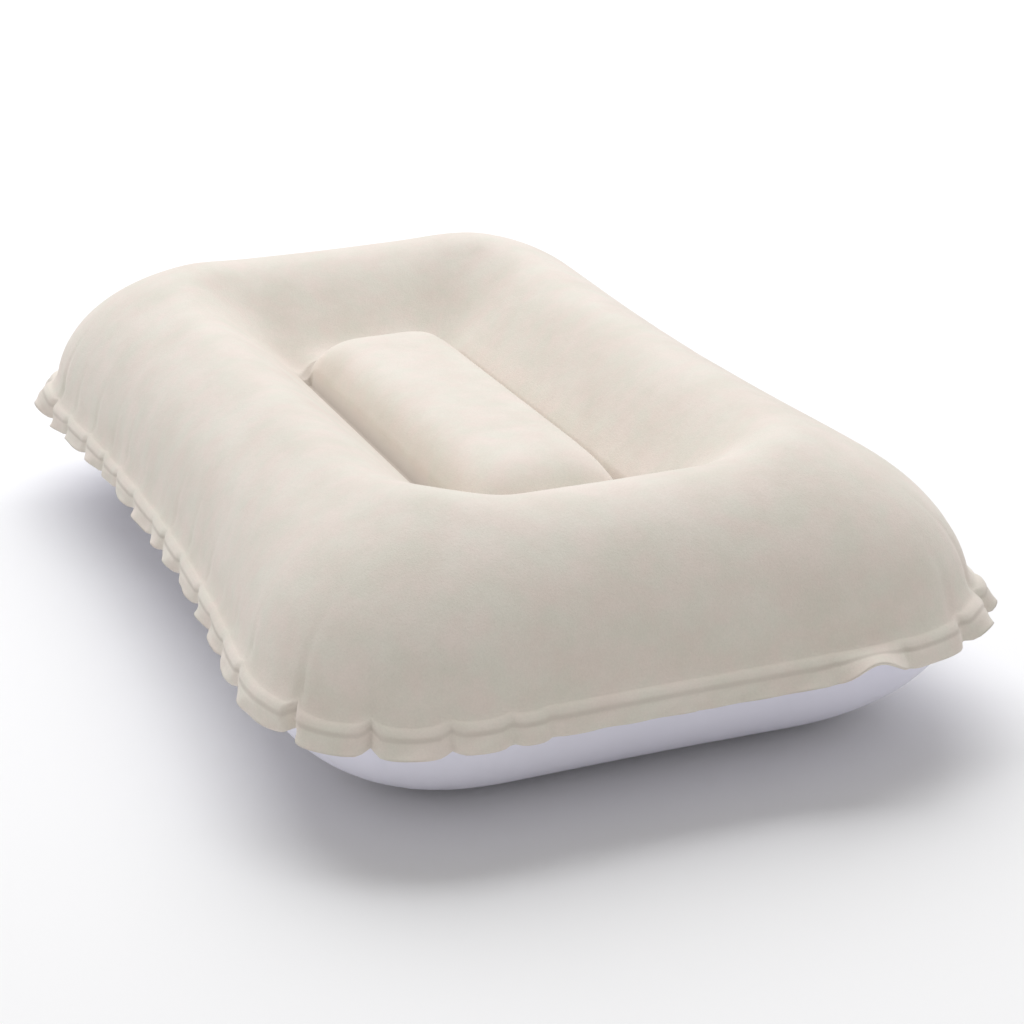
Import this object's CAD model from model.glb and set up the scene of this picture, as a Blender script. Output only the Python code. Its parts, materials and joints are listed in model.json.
import json
import math

import bmesh
import bpy
import numpy as np
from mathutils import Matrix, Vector, kdtree


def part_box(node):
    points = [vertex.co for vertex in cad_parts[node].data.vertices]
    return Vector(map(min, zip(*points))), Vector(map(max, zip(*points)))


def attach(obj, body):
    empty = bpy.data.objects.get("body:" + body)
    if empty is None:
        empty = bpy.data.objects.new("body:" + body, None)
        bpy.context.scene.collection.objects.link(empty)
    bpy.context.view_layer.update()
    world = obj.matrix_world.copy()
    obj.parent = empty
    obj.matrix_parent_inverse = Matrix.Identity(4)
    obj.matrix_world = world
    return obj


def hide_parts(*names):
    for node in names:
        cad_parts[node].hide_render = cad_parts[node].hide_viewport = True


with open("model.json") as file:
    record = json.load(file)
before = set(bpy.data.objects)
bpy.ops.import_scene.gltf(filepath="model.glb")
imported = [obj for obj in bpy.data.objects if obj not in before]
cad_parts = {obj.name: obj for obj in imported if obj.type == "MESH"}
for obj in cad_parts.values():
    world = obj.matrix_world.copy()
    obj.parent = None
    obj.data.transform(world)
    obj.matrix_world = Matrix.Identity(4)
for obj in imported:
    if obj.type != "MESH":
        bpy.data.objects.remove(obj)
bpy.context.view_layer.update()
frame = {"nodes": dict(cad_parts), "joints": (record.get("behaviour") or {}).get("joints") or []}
SEAM_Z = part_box("top_sheet")[0].z

# ------------------------------------------------------------------ the pillow's shape, in metres
HALF_LENGTH, HALF_WIDTH = 0.2033, 0.1251
END_BOW, SIDE_BOW = 0.0055, 0.0154
SHOULDER_X, SHOULDER_Y, SHOULDER_POWER = 0.0771, 0.0786, 2.34
TOP_RISE, TOP_HOLLOW = 0.0516, 0.0402
BOTTOM_RISE, BOTTOM_HOLLOW = 0.0504, 0.0180
HOLLOW_X, HOLLOW_Y = 0.070, 0.052
CUSHION_MIDDLE, CUSHION_END, CUSHION_FADE = 0.47, 0.15, 0.016
CUSHION_FLATNESS, CUSHION_SQUARENESS = 5, 12
BEAM_GAP, BEAM_LENGTH = 0.0593, 0.189
FLANGE = 0.0105

# ------------------------------------------------------------------ where the valve is
JOINTS = {joint["name"]: joint for joint in frame["joints"]}
VALVE_OUT = Vector(JOINTS["stem_pull"]["axis"])
VALVE_ACROSS = Vector((0, 1, 0))
STRAP_ROOT, STRAP_LEVEL = 0.0074, 0.002125
VALVE = Vector(JOINTS["stopper_swing"]["pos_m"]) - VALVE_ACROSS * STRAP_ROOT - VALVE_OUT * STRAP_LEVEL
COLLAR_RADIUS = 0.0068
VALVE_PATCH = 0.024             # round the valve the bottom sheet has the foot of its CAD solid
FOOT_END = 1.0417


def shoulder(x, y):
    """0 on the middle of the pillow, 1 at the edge weld."""
    across = np.clip(1 - (y / HALF_WIDTH) ** 2, 0, None)
    along = np.clip(1 - (x / HALF_LENGTH) ** 2, 0, None)
    straight_x = np.abs(x) / (1 - END_BOW / HALF_LENGTH * across)
    straight_y = np.abs(y) / (1 - SIDE_BOW / HALF_WIDTH * along)
    out_x = np.clip(straight_x - (HALF_LENGTH - SHOULDER_X), 0, None) / SHOULDER_X
    out_y = np.clip(straight_y - (HALF_WIDTH - SHOULDER_Y), 0, None) / SHOULDER_Y
    return (out_x ** SHOULDER_POWER + out_y ** SHOULDER_POWER) ** (1 / SHOULDER_POWER)


def hollow(x, y):
    """1 along each beam, 0 away from them, and less on the cushion between them."""
    past_end = np.clip(np.abs(x) - BEAM_LENGTH / 2, 0, None)
    beside = np.clip(np.abs(y) - BEAM_GAP / 2, 0, None)
    away = np.clip(np.hypot(past_end / HOLLOW_X, beside / HOLLOW_Y), 0, 1)
    slope = (1 - away) ** 2 * (1 + away)
    between = np.clip(1 - np.abs(2 * y / BEAM_GAP) ** CUSHION_FLATNESS, 0, None)
    to_end = np.clip(2 * np.abs(x) / BEAM_LENGTH, 0, 1) ** CUSHION_SQUARENESS
    fade = np.clip(1 - past_end / CUSHION_FADE, 0, None) ** 2
    cushion = (CUSHION_MIDDLE + (CUSHION_END - CUSHION_MIDDLE) * to_end) * fade
    return slope * (1 - cushion * between)


def surface_z(x, y, top):
    """The height of a sheet before it is blown up."""
    s = shoulder(x, y)
    roundness = np.sqrt(np.clip(1 - s ** 2, 0, 1))
    if top:
        return SEAM_Z + roundness * (TOP_RISE - TOP_HOLLOW * hollow(x, y))
    flatter = np.sqrt(np.clip(1 - (s * FOOT_END) ** 2, 0, 1))
    at_valve = np.exp(-(np.hypot(x - VALVE.x, y - VALVE.y) / VALVE_PATCH) ** 4)
    low = np.minimum(flatter, roundness)
    roundness = roundness + (low - roundness) * at_valve * (s < 0.95)
    return SEAM_Z - roundness * (BOTTOM_RISE - BOTTOM_HOLLOW * hollow(x, y))


def weld_line(angles):
    """Points of the edge weld, found by halving along each direction from the middle."""
    near = np.full(len(angles), 0.5)
    far = np.full(len(angles), 1.5)
    for _ in range(40):
        middle = (near + far) / 2
        inside = shoulder(middle * HALF_LENGTH * np.cos(angles), middle * HALF_WIDTH * np.sin(angles)) < 1
        near = np.where(inside, middle, near)
        far = np.where(inside, far, middle)
    return np.stack([near * HALF_LENGTH * np.cos(angles), near * HALF_WIDTH * np.sin(angles)], 1)


RIM_ANGLES = np.linspace(0, 2 * math.pi, 4001)
RIM = weld_line(RIM_ANGLES)
RIM_S = np.concatenate([[0], np.cumsum(np.hypot(*np.diff(RIM, axis=0).T))])
RIM_LENGTH = RIM_S[-1]


def rim_place(s):
    """Points of the weld line at lengths s along it, counted from the middle of the near end."""
    s = np.mod(s, RIM_LENGTH)
    return np.stack([np.interp(s, RIM_S, RIM[:, 0]), np.interp(s, RIM_S, RIM[:, 1])], 1)


def rim_outward(s):
    """The level direction out of the pillow at lengths s along the weld line."""
    step = 0.002
    along = rim_place(s + step) - rim_place(s - step)
    along /= np.linalg.norm(along, axis=1)[:, None]
    return np.stack([along[:, 1], -along[:, 0]], 1)


# ------------------------------------------------------------------ the camera
CAMERA_AZIMUTH, CAMERA_ELEVATION, CAMERA_ROLL = (math.radians(a) for a in (70.316, 19.722, 1.655))
CAMERA_DISTANCE = 0.9006
CAMERA_SENSOR, CAMERA_LENS = 36, 87.37
CAMERA_SHIFT_X, CAMERA_SHIFT_Y = 0.0542, -0.0438


def make_camera():
    """It looks along a line through the middle of the pillow, at the edge weld's level."""
    a, e, r = CAMERA_AZIMUTH, CAMERA_ELEVATION, CAMERA_ROLL
    back = Vector((math.sin(a) * math.cos(e), -math.cos(a) * math.cos(e), math.sin(e)))
    right = Vector((math.cos(a), math.sin(a), 0))
    up = back.cross(right)
    across = right * math.cos(r) - up * math.sin(r)
    upright = right * math.sin(r) + up * math.cos(r)
    data = bpy.data.cameras.new("camera")
    data.sensor_width = CAMERA_SENSOR
    data.lens = CAMERA_LENS
    data.shift_x, data.shift_y = CAMERA_SHIFT_X, CAMERA_SHIFT_Y
    data.clip_start, data.clip_end = 0.05, 20
    camera = bpy.data.objects.new("camera", data)
    bpy.context.scene.collection.objects.link(camera)
    place = back * CAMERA_DISTANCE + Vector((0, 0, SEAM_Z))
    for row in range(3):
        camera.matrix_world[row][0] = across[row]
        camera.matrix_world[row][1] = upright[row]
        camera.matrix_world[row][2] = back[row]
        camera.matrix_world[row][3] = place[row]
    bpy.context.scene.camera = camera


make_camera()

# ------------------------------------------------------------------ meshes
def make_object(name, vertices, faces):
    mesh = bpy.data.meshes.new(name)
    mesh.from_pydata([tuple(v) for v in vertices], [], [tuple(f) for f in faces])
    mesh.update()
    obj = bpy.data.objects.new(name, mesh)
    bpy.context.scene.collection.objects.link(obj)
    return obj


def evaluated(obj):
    """The vertices and faces of an object with its modifiers."""
    graph = bpy.context.evaluated_depsgraph_get()
    mesh = obj.evaluated_get(graph).to_mesh()
    vertices = np.zeros(len(mesh.vertices) * 3)
    mesh.vertices.foreach_get("co", vertices)
    faces = [tuple(p.vertices) for p in mesh.polygons]
    obj.evaluated_get(graph).to_mesh_clear()
    return vertices.reshape(-1, 3), faces


def remove(obj):
    mesh = obj.data
    bpy.data.objects.remove(obj)
    bpy.data.meshes.remove(mesh)


CELLS_X, CELLS_Y, RINGS = 72, 34, 17
CELLS_TO_BEAM = 7               # grid cells from the middle line to each beam weld
CORE_X, CORE_Y = 0.150, BEAM_GAP / 2 * (CELLS_Y / 2) / CELLS_TO_BEAM
CORNER_TURN = 1.19              # leads the grid's corners towards the pillow's corners


def plan():
    """A flat mesh of the sheet: a grid of squares in the middle, with rings round it out to the weld line.
    Its weld-line vertices come last, in order."""
    xs = np.linspace(-CORE_X, CORE_X, CELLS_X + 1)
    ys = np.linspace(-CORE_Y, CORE_Y, CELLS_Y + 1)
    points = [(x, y) for x in xs for y in ys]

    def number(i, j):
        return i * (CELLS_Y + 1) + j

    faces = [
        (number(i, j), number(i + 1, j), number(i + 1, j + 1), number(i, j + 1))
        for i in range(CELLS_X)
        for j in range(CELLS_Y)
    ]
    edge = [number(CELLS_X, j) for j in range(CELLS_Y)]
    edge += [number(i, CELLS_Y) for i in range(CELLS_X, 0, -1)]
    edge += [number(0, j) for j in range(CELLS_Y, 0, -1)]
    edge += [number(i, 0) for i in range(CELLS_X)]
    corner_angle = math.atan2(CORE_Y / HALF_WIDTH * CORNER_TURN, CORE_X / HALF_LENGTH)
    corners = [-corner_angle, corner_angle, math.pi - corner_angle, math.pi + corner_angle]
    corners.append(2 * math.pi - corner_angle)
    corner_s = np.interp(np.mod(corners, 2 * math.pi), RIM_ANGLES, RIM_S)
    corner_s[0] -= RIM_LENGTH
    corner_s[4] = corner_s[0] + RIM_LENGTH
    rim_s = []
    for side, cells in enumerate((CELLS_Y, CELLS_X, CELLS_Y, CELLS_X)):
        rim_s += list(np.linspace(corner_s[side], corner_s[side + 1], cells + 1)[:-1])
    outer = rim_place(np.array(rim_s))
    inner = np.array([points[k] for k in edge])
    last = edge
    for ring in range(1, RINGS + 1):
        share = math.sin(math.pi / 2 * ring / RINGS)
        first = len(points)
        points += [tuple(p) for p in inner + (outer - inner) * share]
        now = list(range(first, first + len(edge)))
        for k in range(len(edge)):
            after = (k + 1) % len(edge)
            faces.append((last[k], now[k], now[after], last[after]))
        last = now
    return np.array(points), faces, last


SIM_FRAMES = 16
SIM_INSET = 0.0012              # the sheets start this far inside their shape
SIM_CAP = 0.006                 # the furthest that the air may move them
BEAM_CALM = 0.070               # within this reach of a beam weld they move less
HELD_BESIDE_BEAM, HELD_PAST_BEAM = 0.0001, 0.001
HELD_AT_VALVE = 0.017


def inflate(points, faces, rim):
    """Both sheets are blown up from a slightly slack start, held at the edge weld and the beam welds.
    Returns their vertices, in the plan's order."""
    count = len(points)
    x, y = points.T
    top = np.column_stack([x, y, surface_z(x, y, True)])
    bottom = np.column_stack([x, y, surface_z(x, y, False)])
    is_rim = np.zeros(count, bool)
    is_rim[rim] = True
    both = np.vstack([top, bottom[~is_rim]])
    lower = np.zeros(count, int)
    lower[is_rim] = np.flatnonzero(is_rim)
    lower[~is_rim] = count + np.arange((~is_rim).sum())
    all_faces = faces + [tuple(lower[k] for k in reversed(f)) for f in faces]
    obj = make_object("blown", both, all_faces)
    normals = np.zeros(len(both) * 3)
    obj.data.vertices.foreach_get("normal", normals)
    normals = normals.reshape(-1, 3)
    on_line = np.abs(np.abs(both[:, 1]) - BEAM_GAP / 2) < HELD_BESIDE_BEAM
    on_beam = on_line & (np.abs(both[:, 0]) < BEAM_LENGTH / 2 + HELD_PAST_BEAM)
    at_valve = np.linalg.norm(both - np.array(VALVE), axis=1) < HELD_AT_VALVE
    held = on_beam | at_valve
    held[:count] |= is_rim
    start = both - normals * np.where(held, 0, SIM_INSET)[:, None]
    obj.data.vertices.foreach_set("co", start.ravel())
    group = obj.vertex_groups.new(name="held")
    group.add([int(k) for k in np.flatnonzero(held)], 1.0, "REPLACE")
    cloth = obj.modifiers.new("cloth", "CLOTH")
    s = cloth.settings
    s.quality = 6
    s.mass = 0.3
    s.air_damping = 2
    s.tension_stiffness = s.compression_stiffness = 25
    s.shear_stiffness = 15
    s.bending_stiffness = 2.0
    s.tension_damping = s.compression_damping = s.shear_damping = 5
    s.use_pressure = True
    s.uniform_pressure_force = 3.0
    s.vertex_group_mass = "held"
    s.effector_weights.gravity = 0
    cloth.collision_settings.use_collision = False
    cloth.point_cache.frame_end = SIM_FRAMES
    for number in range(1, SIM_FRAMES + 1):
        bpy.context.scene.frame_set(number)
    moved, _ = evaluated(obj)
    bpy.context.scene.frame_set(1)
    remove(obj)
    shift = moved - both
    length = np.linalg.norm(shift, axis=1)
    shift *= np.minimum(1, SIM_CAP / np.maximum(length, 1e-9))[:, None]
    past_end = np.maximum(np.abs(both[:, 0]) - BEAM_LENGTH / 2, 0)
    from_beam = np.hypot(past_end, np.abs(both[:, 1]) - BEAM_GAP / 2)
    shift *= np.clip(from_beam / BEAM_CALM, 0, 1)[:, None] ** 2
    both = both + shift
    return both[:count], both[lower]


def subdivided(vertices, faces, levels):
    obj = make_object("smooth", vertices, faces)
    modifier = obj.modifiers.new("smooth", "SUBSURF")
    modifier.levels = modifier.render_levels = levels
    modifier.boundary_smooth = "PRESERVE_CORNERS"
    result = evaluated(obj)
    remove(obj)
    return result


def rim_loop(vertices, faces):
    """The vertices of the open edge, in order round the pillow."""
    seen = {}
    for f in faces:
        for a, b in zip(f, f[1:] + f[:1]):
            key = (min(a, b), max(a, b))
            seen[key] = seen.get(key, 0) + 1
    open_edge = sorted({k for key, times in seen.items() if times == 1 for k in key})
    angle = np.arctan2(vertices[open_edge, 1] / HALF_WIDTH, vertices[open_edge, 0] / HALF_LENGTH)
    order = np.argsort(np.mod(angle, 2 * math.pi))
    return [open_edge[k] for k in order]


# ------------------------------------------------------------------ folds of the weld flange
# Each fold runs to the next pleat: its end (m along the weld line from the middle of the near end),
# how far it hangs at the pleat and in its middle (degrees below flat), how far the weld line sags in it (m),
# where its crest is (0 to 1), and how hard its end pleat is pinched in (m).
NEAR_FOLDS = [
    (0.044, 70, 74, 0.0002, 0.5, 0.0002),
    (0.068, 66, 8, 0.0000, 0.5, 0.0003),
    (0.093, 70, 66, 0.0004, 0.5, 0.0012),
    (0.113, 96, 42, -0.0014, 0.45, 0.0016),
    (0.129, 94, 58, -0.0024, 0.45, 0.0012),
    (0.152, 84, 60, 0.0004, 0.5, 0.0006),
]
FAR_LEFT_FOLDS = [
    (0.694, 72, 60, 0.0003, 0.5, 0.0010),
    (0.710, 88, 56, -0.0012, 0.5, 0.0006),
    (0.738, 96, 44, -0.0022, 0.5, 0.0016),
]
NEAR_LEFT_FOLDS = [
    (1.0465, 86, 66, 0.0012, 0.35, 0.0020),
    (1.072, 84, 66, 0.0020, 0.45, 0.0016),
    (1.094, 84, 66, 0.0020, 0.5, 0.0008),
    (1.111, 82, 70, 0.0010, 0.5, 0.0005),
    (1.123, 80, 70, 0.0006, 0.5, 0.0003),
]
RUFFLE = 0.0225                 # the usual length of one ruffle


def ruffles(start, end, seed):
    """Even ruffles between two places, each a little different."""
    rng = np.random.default_rng(seed)
    count = max(1, round((end - start) / RUFFLE))
    ends = start + (end - start) * np.arange(1, count + 1) / count
    ends[:-1] += rng.uniform(-0.0035, 0.0035, count - 1)
    made = []
    for place in ends:
        made.append((
            place, rng.uniform(86, 99), rng.uniform(62, 78), rng.uniform(0, 0.0006),
            rng.uniform(0.35, 0.6), rng.uniform(0.0002, 0.0007),
        ))
    return made


FOLDS = (
    NEAR_FOLDS
    + ruffles(0.152, 0.430, 5)
    + [(0.452, 88, 20, 0, 0.5, 0.0010), (0.474, 90, 10, 0, 0.5, 0.0012)]
    + [(0.500, 78, 62, 0.0008, 0.5, 0.0006), (0.530, 76, 68, 0.0006, 0.5, 0.0004)]
    + [(0.610, 72, 74, 0.0002, 0.5, 0.0003), (0.640, 76, 66, 0.0005, 0.5, 0.0004)]
    + [(0.668, 76, 66, 0.0008, 0.5, 0.0006)]
    + FAR_LEFT_FOLDS
    + ruffles(0.738, 1.012, 11)
    + NEAR_LEFT_FOLDS
)


def smooth_round(values, width):
    """The values averaged round the rim, over that many metres each way."""
    step = RIM_LENGTH / len(values)
    reach = max(1, round(width / step))
    kernel = np.hanning(2 * reach + 3)
    kernel /= kernel.sum()
    pad = len(kernel)
    long = np.concatenate([values[-pad:], values, values[:pad]])
    return np.convolve(long, kernel, "same")[pad:-pad]


FOLD_SAMPLES = 6000
CREST_POWER, SAG_POWER = 1.1, 0.8
PLEAT_REACH = 0.0017            # of the pinch, each side of a pleat
FOLD_SOFT = 0.002               # the hang and the sag are averaged over this


def fold_curves():
    """Hang, sag and pinch of the flange all round, as evenly spaced samples."""
    s = np.arange(FOLD_SAMPLES) * RIM_LENGTH / FOLD_SAMPLES
    hang, sag, pinch = np.zeros_like(s), np.zeros_like(s), np.zeros_like(s)
    start = FOLDS[-1][0] - RIM_LENGTH
    before = FOLDS[-1][1]
    for end, at_end, at_crest, drop, crest, hard in FOLDS:
        for turn in (0, RIM_LENGTH):
            q = (s - turn - start) / (end - start)
            inside = (q >= 0) & (q < 1)
            qi = q[inside]
            rising = np.sin(math.pi / 2 * np.clip(qi / crest, 0, 1)) ** CREST_POWER
            falling = np.sin(math.pi / 2 * np.clip((1 - qi) / (1 - crest), 0, 1)) ** CREST_POWER
            bump = np.where(qi < crest, rising, falling)
            low = before + (at_end - before) * qi
            hang[inside] = low + (at_crest - low) * bump
            sag[inside] = drop * np.sin(math.pi * qi) ** SAG_POWER
            away = s - turn - end
            pinch += hard * np.exp(-((away / PLEAT_REACH) ** 2))
        start, before = end, at_end
    return smooth_round(np.radians(hang), FOLD_SOFT), smooth_round(sag, FOLD_SOFT), pinch


HANG, SAG, PINCH = fold_curves()


def around(curve, s):
    """A curve's values at lengths s along the weld line."""
    places = np.arange(FOLD_SAMPLES + 1) * RIM_LENGTH / FOLD_SAMPLES
    return np.interp(np.mod(s, RIM_LENGTH), places, np.append(curve, curve[0]))


# the flange's section: a bead that turns down from the sheet's edge, and then the hanging band
BEAD_OUT = [0.0, 0.0007, 0.0015, 0.0022, 0.0027, 0.0030]
BEAD_DOWN = [0.0, 0.0001, 0.0004, 0.0010, 0.0019, 0.0028]
BAND_STEPS = 9
BAND = FLANGE - 0.0045          # the width of the band where it is full
HANGING = math.radians(80)      # a band that hangs less than this opens its bead
LOOSEST, BEAD_OPEN, BEAD_RAISED = 1.1, 0.7, 0.9
DIP, DIP_REACH = 0.0004, 0.0010             # the pressed line between bead and band
EDGE, EDGE_REACH = 0.00025, 0.0012          # the cut edge stands out a little
# small curls of the band: their turn, and how fast it changes across the band and along it
BAND_CURLS = [(0.12, 2.2, 60), (0.07, 3, 390)]
ROWS_TO_TURN = 4                # rows over which the inner side turns with the bead
TOP_SHEET, BOTTOM_SHEET = 0.0007, 0.0004    # thickness of each sheet at its free edge
# the band is narrower along the left side, which is drawn up in ruffles
BAND_PLACES = [0, 0.735, 0.765, 0.990, 1.030, RIM_LENGTH]
BAND_SHARES = [1, 1, 0.76, 0.80, 1, 1]


def flange_section(s, under, spread):
    """Rows of points across the flange, for each place s: out from the weld line, and down."""
    hang = around(HANG, s)
    pinch = around(PINCH, s)
    loose = np.clip((HANGING - hang) / HANGING, 0, LOOSEST)
    rows = []
    for out, down in zip(BEAD_OUT, BEAD_DOWN):
        flat = out + down * BEAD_OPEN
        turned_out = out + (flat - out) * loose
        turned_down = down * (1 - BEAD_RAISED * loose)
        rows.append([turned_out - pinch * out / BEAD_OUT[-1], turned_down])
    band = BAND * np.interp(np.mod(s, RIM_LENGTH), BAND_PLACES, BAND_SHARES)
    root_out, root_down = rows[-1]
    for k in range(1, BAND_STEPS + 1):
        along = band * k / BAND_STEPS
        dip = DIP * np.exp(-((along / DIP_REACH) ** 2))
        edge = EDGE * np.exp(-(((band - along) / EDGE_REACH) ** 2))
        turn = hang
        for size, across, lengthways in BAND_CURLS:
            turn = turn + size * np.sin(k / BAND_STEPS * across + s * lengthways)
        out = root_out + along * np.cos(turn) - dip + edge
        down = root_down + along * np.sin(turn)
        rows.append([out, down])
    if under:
        shifted = []
        for k, (out, down) in enumerate(rows):
            share = min(1, k / ROWS_TO_TURN)
            shifted_out = out - spread * np.sin(hang) * share
            shifted_down = down + spread * (1 - share + share * np.cos(hang))
            shifted.append([shifted_out, shifted_down])
        rows = shifted
    return rows


def add_flange(vertices, faces, top):
    """The sheet with its half of the flange: out, round the free edge and back to the weld line."""
    loop = rim_loop(vertices, faces)
    angle = np.mod(np.arctan2(vertices[loop, 1] / HALF_WIDTH, vertices[loop, 0] / HALF_LENGTH), 2 * math.pi)
    s = np.interp(angle, RIM_ANGLES, RIM_S)
    outward = rim_outward(s)
    base = vertices[loop].copy()
    thick = TOP_SHEET if top else BOTTOM_SHEET
    depth = 0.0 if top else TOP_SHEET
    outer = flange_section(s, not top, depth)
    inner = flange_section(s, True, depth + thick)
    if not top:
        outer, inner = inner, outer
    rows = [base]
    for out, down in outer[1:] + inner[::-1][:-1]:
        ring = base.copy()
        ring[:, :2] += outward * out[:, None]
        ring[:, 2] -= down
        rows.append(ring)
    made = list(vertices)
    last = loop
    for ring in rows[1:]:
        first = len(made)
        made += list(ring)
        now = list(range(first, first + len(loop)))
        for k in range(len(loop)):
            after = (k + 1) % len(loop)
            quad = (last[k], now[k], now[after], last[after])
            faces.append(quad if top else quad[::-1])
        last = now
    return np.array(made), faces


def pressed_rows(count):
    """Which flange vertices lie in the pressed line between its bead and its band."""
    rows = 2 * (len(BEAD_OUT) + BAND_STEPS) - 2
    row = np.arange(count) // (count // rows)
    return (row == len(BEAD_OUT) - 1) | (row == len(BEAD_OUT) - 2)


FILLET, FILLET_REACH = 0.0012, 0.0022       # the top sheet swells a little over the weld
CREASE_FROM = 0.55                          # the shoulder value beyond which a sheet creases
TOP_PUCKER, BOTTOM_PUCKER = 0.012, 0.020    # how far the puckers run into each sheet
TOP_PINCH, BOTTOM_PINCH = 1.0, 1.1
TOP_BULGE, BOTTOM_BULGE = 0.9, 0.5          # what a pinch draws in stands out beside it
BULGE_WIDTH = 0.012
SAG_REACH = 0.010
PINCH_RISE, PINCH_REACH = 0.6, 0.006


def crease(vertices, top):
    """The weld line's sag and pinches, and the small puckers that run from them into the sheet."""
    x, y = vertices[:, 0], vertices[:, 1]
    near = shoulder(x, y) > CREASE_FROM
    tree = kdtree.KDTree(len(RIM) - 1)
    for k, p in enumerate(RIM[:-1]):
        tree.insert((p[0], p[1], 0), k)
    tree.balance()
    chosen = np.flatnonzero(near)
    nearest = np.array([tree.find((x[k], y[k], 0))[1] for k in chosen])
    s = RIM_S[nearest]
    rise = np.abs(vertices[chosen, 2] - SEAM_Z)
    run = np.hypot(x[chosen] - RIM[nearest, 0], y[chosen] - RIM[nearest, 1])
    away = np.hypot(rise, run)
    outward = rim_outward(s)
    reach = TOP_PUCKER if top else BOTTOM_PUCKER
    fade = np.exp(-away / reach)
    depth = around(PINCH, s) * (TOP_PINCH if top else BOTTOM_PINCH)
    bulge = smooth_round(PINCH, BULGE_WIDTH)
    lift = around(bulge, s) * (TOP_BULGE if top else BOTTOM_BULGE)
    move = (lift - depth) * fade + (FILLET * np.exp(-away / FILLET_REACH) if top else 0)
    result = vertices.copy()
    result[chosen, 0] += outward[:, 0] * move
    result[chosen, 1] += outward[:, 1] * move
    result[chosen, 2] -= around(SAG, s) * np.exp(-away / SAG_REACH)
    result[chosen, 2] += around(PINCH, s) * PINCH_RISE * np.exp(-away / PINCH_REACH)
    return result


GROOVE_OUT = 0.0009             # its middle lies this far outside the weld
GROOVE_HALF = 0.0020            # half the width of its floor
GROOVE_WALL = 0.0010
GROOVE_DEPTH = 0.0009
GROOVE_CURL, GROOVE_TURN = 0.010, math.pi * 0.42    # radius and angle of its curled ends
GROOVE_PAST, GROOVE_FADE = 0.001, 0.006             # where it ends, and how far before it fades
SHADE_REACH, SHADE_SHARE = 0.008, 0.35              # the pile is pressed a little beside it too


def groove_line():
    """One beam weld in plan: straight, then curled in towards the cushion at each end."""
    half = BEAM_LENGTH / 2
    middle = BEAM_GAP / 2 + GROOVE_OUT
    straight = [(x, middle) for x in np.linspace(0, half - GROOVE_CURL, 60)]
    turns = np.linspace(0, GROOVE_TURN, 12)[1:]
    curl = [
        (half - GROOVE_CURL + GROOVE_CURL * math.sin(t), middle - GROOVE_CURL * (1 - math.cos(t)))
        for t in turns
    ]
    return np.array(straight + curl)


def weld_grooves(vertices):
    """The flat-bottomed channel of each beam weld. Returns the vertices, and how pressed each one is."""
    x, y, z = vertices.T
    line = groove_line()
    from_line = np.full(len(x), 1.0)
    for (x0, y0), (x1, y1) in zip(line, line[1:]):
        run = np.array([x1 - x0, y1 - y0])
        share = ((np.abs(x) - x0) * run[0] + (np.abs(y) - y0) * run[1]) / (run @ run)
        share = np.clip(share, 0, 1)
        from_run = np.hypot(np.abs(x) - x0 - share * run[0], np.abs(y) - y0 - share * run[1])
        from_line = np.minimum(from_line, from_run)
    in_channel = np.clip((GROOVE_HALF + GROOVE_WALL - from_line) / GROOVE_WALL, 0, 1)
    fade = np.clip((BEAM_LENGTH / 2 + GROOVE_PAST - np.abs(x)) / GROOVE_FADE, 0, 1) ** 0.5
    channel = in_channel * fade
    weld_x = np.clip(x, -BEAM_LENGTH / 2, BEAM_LENGTH / 2)
    floor_z = surface_z(weld_x, np.full(len(x), BEAM_GAP / 2), True) - GROOVE_DEPTH
    straight = channel * (np.abs(x) < BEAM_LENGTH / 2 - GROOVE_CURL)
    result = vertices.copy()
    result[:, 2] += np.where(straight > 0, straight * (floor_z - z), -channel * GROOVE_DEPTH)
    shade = np.clip((SHADE_REACH - from_line) / SHADE_REACH, 0, 1) * SHADE_SHARE
    return result, np.maximum(in_channel, shade)


SETTLE, SETTLE_ROUND, LOWEST = 0.0016, 3.2, 0.0002


def settle(vertices):
    """The underside is flat where it rests."""
    result = vertices.copy()
    z = result[:, 2]
    soft = SETTLE * np.exp(np.minimum(z - SETTLE, 0) / SETTLE)
    result[:, 2] = np.where(z < SETTLE, soft - SETTLE * math.exp(-SETTLE_ROUND), z)
    result[:, 2] = np.maximum(result[:, 2], LOWEST)
    return result


HOLE_REACH = 0.012              # only the sheet this near to the valve is cut


def valve_hole(vertices, faces):
    """The bottom sheet is cut away inside the valve's collar, and its cut edge is drawn to a circle."""
    offset = vertices - np.array(VALVE)
    along = offset @ np.array(VALVE_OUT)
    radial = offset - along[:, None] * np.array(VALVE_OUT)
    radius = np.linalg.norm(radial, axis=1)
    near = np.abs(along) < HOLE_REACH
    inside = near & (radius < COLLAR_RADIUS)
    kept = [f for f in faces if not any(inside[k] for k in f)]
    cut = [f for f in faces if any(inside[k] for k in f)]
    edge = {k for f in cut for k in f if not inside[k]}
    result = vertices.copy()
    for k in edge:
        result[k] -= radial[k] * (1 - COLLAR_RADIUS / radius[k])
    return result, kept


SMOOTH_LEVELS = 2
FLANGE_PRESSED = 0.4            # how pressed the line between bead and band looks

points, plan_faces, plan_rim = plan()
top_blown, bottom_blown = inflate(points, plan_faces, plan_rim)

top_vertices, top_faces = subdivided(top_blown, plan_faces, SMOOTH_LEVELS)
top_vertices, groove = weld_grooves(crease(top_vertices, True))
top_vertices, top_faces = add_flange(top_vertices, top_faces, True)
top_sheet = make_object("flocked_top_sheet", top_vertices, top_faces)
pressed = np.zeros(len(top_vertices))
pressed[:len(groove)] = groove
pressed[len(groove):][pressed_rows(len(top_vertices) - len(groove))] = FLANGE_PRESSED
top_sheet.data.attributes.new("pressed", "FLOAT", "POINT").data.foreach_set("value", pressed)

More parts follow.
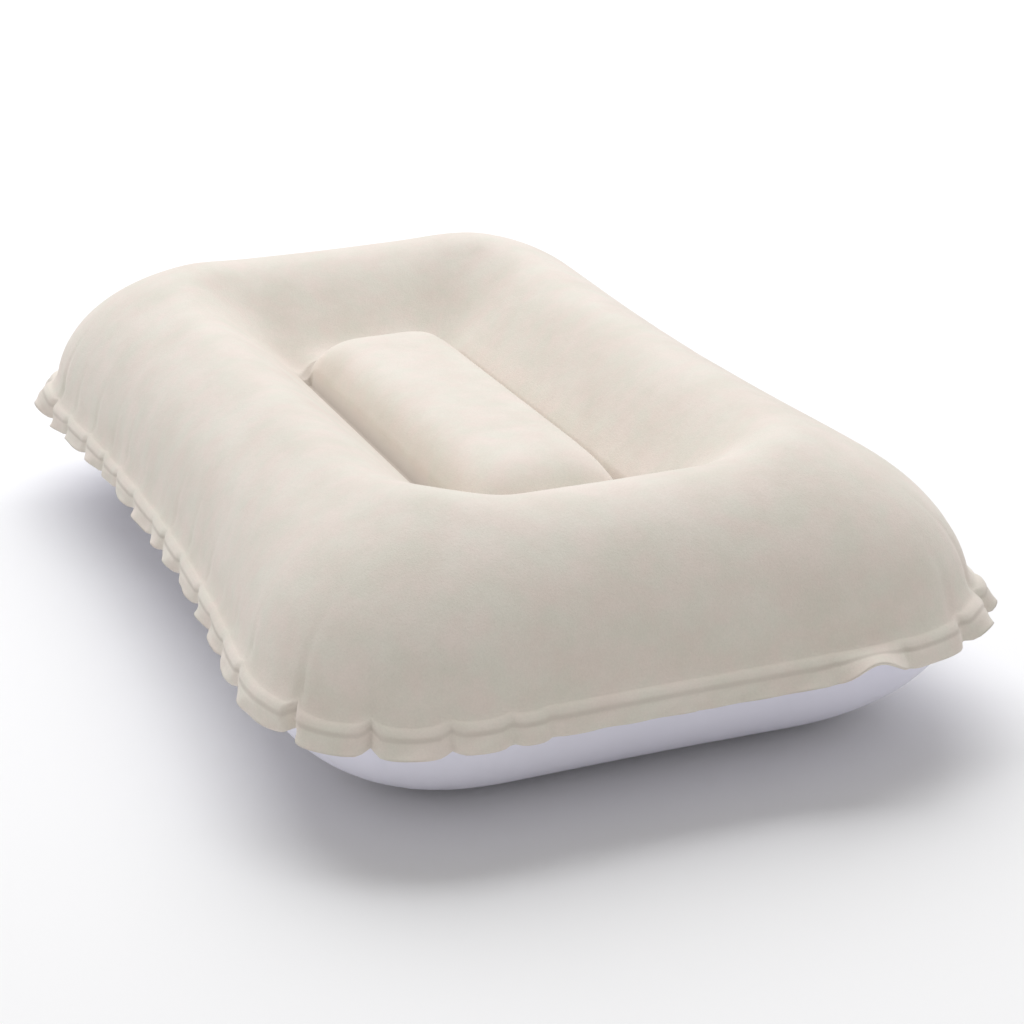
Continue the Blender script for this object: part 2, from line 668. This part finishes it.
bottom_vertices, bottom_faces = subdivided(bottom_blown, [f[::-1] for f in plan_faces], SMOOTH_LEVELS)
bottom_vertices = crease(settle(bottom_vertices), False)
bottom_vertices, bottom_faces = add_flange(bottom_vertices, bottom_faces, False)
bottom_vertices, bottom_faces = valve_hole(bottom_vertices, bottom_faces)
bottom_sheet = make_object("smooth_bottom_sheet", bottom_vertices, bottom_faces)

for sheet, node, slot in (
    (top_sheet, "top_sheet", "flocked_sheet"),
    (bottom_sheet, "bottom_sheet", "smooth_sheet"),
):
    sheet.data.shade_smooth()
    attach(sheet, "pillow")
    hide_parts(node)


# ------------------------------------------------------------------ the beams
BEAM_THICK, BEAM_TAB = 0.0005, 0.009
BEAM_INSET = 0.0045             # they stay this far inside the sheets, clear of the channels
BEAM_STEPS = 60


def beam(side):
    """An upright strip between the sheets, with its long edges turned over as weld tabs."""
    y = side * BEAM_GAP / 2
    section = []
    for depth in (0, BEAM_THICK):
        inner_y = y - side * (BEAM_THICK / 2 - depth)
        tab_y = y + side * BEAM_TAB
        upper = [(tab_y, True, depth), (inner_y, True, depth)]
        lower = [(inner_y, False, depth), (tab_y, False, depth)]
        section.append(upper + lower)
    ring = section[0] + section[1][::-1]
    xs = np.linspace(-BEAM_LENGTH / 2, BEAM_LENGTH / 2, BEAM_STEPS + 1)
    vertices = []
    for x in xs:
        for across, top, depth in ring:
            level = float(surface_z(np.array([x]), np.array([across]), top)[0])
            inward = BEAM_INSET + depth
            vertices.append((x, across, level - inward if top else level + inward))
    count = len(ring)
    faces = []
    for k in range(BEAM_STEPS):
        for j in range(count):
            after = (j + 1) % count
            faces.append((k * count + j, k * count + after, (k + 1) * count + after, (k + 1) * count + j))
    for first in (0, BEAM_STEPS * count):
        for j in range(3):
            faces.append((first + j, first + j + 1, first + count - 2 - j, first + count - 1 - j))
    return vertices, faces


beams = []
for side, node in ((-1, "beam_left"), (1, "beam_right")):
    strip = make_object(f"{node}_strip", *beam(side))
    mesh = bmesh.new()
    mesh.from_mesh(strip.data)
    bmesh.ops.recalc_face_normals(mesh, faces=mesh.faces)
    mesh.to_mesh(strip.data)
    mesh.free()
    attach(strip, "pillow")
    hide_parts(node)
    beams.append(strip)


# ------------------------------------------------------------------ materials
class Nodes:
    """A short way to write a node material."""

    def __init__(self, name):
        self.material = bpy.data.materials.new(name)
        self.material.use_nodes = True
        self.tree = self.material.node_tree
        self.shader = self.tree.nodes["Principled BSDF"]
        self.place = self.add("ShaderNodeTexCoord").outputs["Object"]

    def add(self, kind, **values):
        node = self.tree.nodes.new(kind)
        for name, value in values.items():
            setattr(node, name, value)
        return node

    def link(self, source, target):
        self.tree.links.new(source, target)

    def noise(self, scale, detail, rough):
        node = self.add("ShaderNodeTexNoise")
        node.inputs["Scale"].default_value = scale
        node.inputs["Detail"].default_value = detail
        node.inputs["Roughness"].default_value = rough
        self.link(self.place, node.inputs["Vector"])
        return node.outputs["Fac"]

    def ramp(self, source, stops):
        node = self.add("ShaderNodeValToRGB")
        elements = node.color_ramp.elements
        while len(elements) < len(stops):
            elements.new(0.5)
        for element, (place, colour) in zip(elements, stops):
            element.position = place
            element.color = (*colour, 1)
        self.link(source, node.inputs["Fac"])
        return node.outputs["Color"]

    def mix(self, share, first, second, kind="MIX"):
        node = self.add("ShaderNodeMix", data_type="RGBA", blend_type=kind)
        for value, socket in ((share, node.inputs[0]), (first, node.inputs[6]), (second, node.inputs[7])):
            if isinstance(value, bpy.types.NodeSocket):
                self.link(value, socket)
            elif isinstance(value, (int, float)):
                socket.default_value = value
            else:
                socket.default_value = (*value, 1)
        return node.outputs[2]

    def bump(self, height, distance, strength, under=None):
        node = self.add("ShaderNodeBump")
        node.inputs["Distance"].default_value = distance
        node.inputs["Strength"].default_value = strength
        self.link(height, node.inputs["Height"])
        if under:
            self.link(under, node.inputs["Normal"])
        return node.outputs["Normal"]

    def set(self, **values):
        for name, value in values.items():
            self.shader.inputs[name.replace("_", " ")].default_value = value


def flock_material():
    """Short matte pile with a faint mottle, flattened and darker where it is pressed."""
    m = Nodes("flocked_vinyl")
    nap = m.ramp(m.noise(40, 5, 0.66), [(0.36, (0.80, 0.735, 0.665)), (0.64, (0.85, 0.785, 0.72))])
    tint = m.ramp(m.noise(95, 3, 0.55), [(0.35, (0.945, 0.985, 0.95)), (0.65, (1.0, 0.965, 0.955))])
    fibre = m.ramp(m.noise(1400, 2, 0.7), [(0.3, (0.93, 0.93, 0.93)), (0.7, (1.0, 1.0, 1.0))])
    colour = m.mix(0.8, nap, tint, "MULTIPLY")
    colour = m.mix(0.7, colour, fibre, "MULTIPLY")
    flattened = m.add("ShaderNodeAttribute", attribute_name="pressed").outputs["Fac"]
    m.link(m.mix(flattened, colour, (0.56, 0.50, 0.44)), m.shader.inputs["Base Color"])
    pile = m.bump(m.noise(1600, 3, 0.7), 0.0004, 0.3)
    m.link(m.bump(m.noise(150, 4, 0.62), 0.0007, 0.22, pile), m.shader.inputs["Normal"])
    m.set(Roughness=0.95, Sheen_Weight=0.25, Sheen_Roughness=0.5, Sheen_Tint=(1, 0.98, 0.96, 1))
    m.set(Specular_IOR_Level=0.2)
    return m.material


def vinyl_material(name, dark, light, wave_size):
    """Smooth calendered or moulded vinyl: a little cloudy, with faint ripples."""
    m = Nodes(name)
    m.link(m.ramp(m.noise(14, 2, 0.5), [(0.35, dark), (0.65, light)]), m.shader.inputs["Base Color"])
    rough = m.add("ShaderNodeMapRange")
    m.link(m.noise(90, 3, 0.6), rough.inputs["Value"])
    rough.inputs["To Min"].default_value = 0.26
    rough.inputs["To Max"].default_value = 0.42
    m.link(rough.outputs["Result"], m.shader.inputs["Roughness"])
    wave = m.bump(m.noise(wave_size, 2, 0.5), 0.0012, 0.3)
    m.link(m.bump(m.noise(900, 2, 0.5), 0.0002, 0.12, wave), m.shader.inputs["Normal"])
    m.set(Specular_IOR_Level=0.5)
    return m.material


def matte_material(name, dark, light):
    """Matte vinyl sheet with a fine emboss."""
    m = Nodes(name)
    m.link(m.ramp(m.noise(60, 2, 0.5), [(0.35, dark), (0.65, light)]), m.shader.inputs["Base Color"])
    m.link(m.bump(m.noise(1200, 2, 0.5), 0.0002, 0.2), m.shader.inputs["Normal"])
    m.set(Roughness=0.6)
    return m.material


top_sheet.data.materials.append(flock_material())
bottom_sheet.data.materials.append(
    vinyl_material("smooth_vinyl", (0.84, 0.83, 0.94), (0.89, 0.88, 0.98), 20)
)
CAD_MATERIALS = {
    vinyl_material("valve_vinyl", (0.60, 0.61, 0.66), (0.66, 0.67, 0.72), 60): (
        "valve_base", "valve_stem", "stopper", "stopper_strap",
    ),
    matte_material("flap_vinyl", (0.50, 0.51, 0.56), (0.56, 0.57, 0.62)): ("check_flap",),
}
beam_vinyl = matte_material("beam_vinyl", (0.66, 0.66, 0.70), (0.72, 0.72, 0.76))
for strip in beams:
    strip.data.materials.append(beam_vinyl)
for material, nodes in CAD_MATERIALS.items():
    for node in nodes:
        for place in frame["nodes"][node].material_slots:
            place.material = material

# ------------------------------------------------------------------ floor and light
def flat_material(name, colour, rough):
    m = Nodes(name)
    m.set(Base_Color=(*colour, 1), Roughness=rough)
    return m.material


FLOOR = 6
floor_corners = [(-FLOOR, -FLOOR, 0), (FLOOR, -FLOOR, 0), (FLOOR, FLOOR, 0), (-FLOOR, FLOOR, 0)]
floor = make_object("floor", floor_corners, [(0, 1, 2, 3)])
floor.data.materials.append(flat_material("pale_floor", (0.9, 0.9, 0.9), 0.9))


def area_light(name, place, target, size, power, colour):
    data = bpy.data.lights.new(name, "AREA")
    data.shape = "SQUARE"
    data.size = size
    data.energy = power
    data.color = colour
    light = bpy.data.objects.new(name, data)
    light.location = place
    light.rotation_euler = (Vector(target) - Vector(place)).to_track_quat("-Z", "Y").to_euler()
    bpy.context.scene.collection.objects.link(light)


area_light(
    "key", place=(-1.35, 0.35, 2.15), target=(0, 0, 0.05), size=3.0, power=74,
    colour=(0.99, 1.0, 1.04),
)

world = bpy.data.worlds.new("studio")
world.use_nodes = True
world.node_tree.nodes["Background"].inputs["Color"].default_value = (1.0, 0.985, 0.955, 1)
world.node_tree.nodes["Background"].inputs["Strength"].default_value = 0.46
bpy.context.scene.world = world
bpy.context.scene.view_settings.view_transform = "Standard"
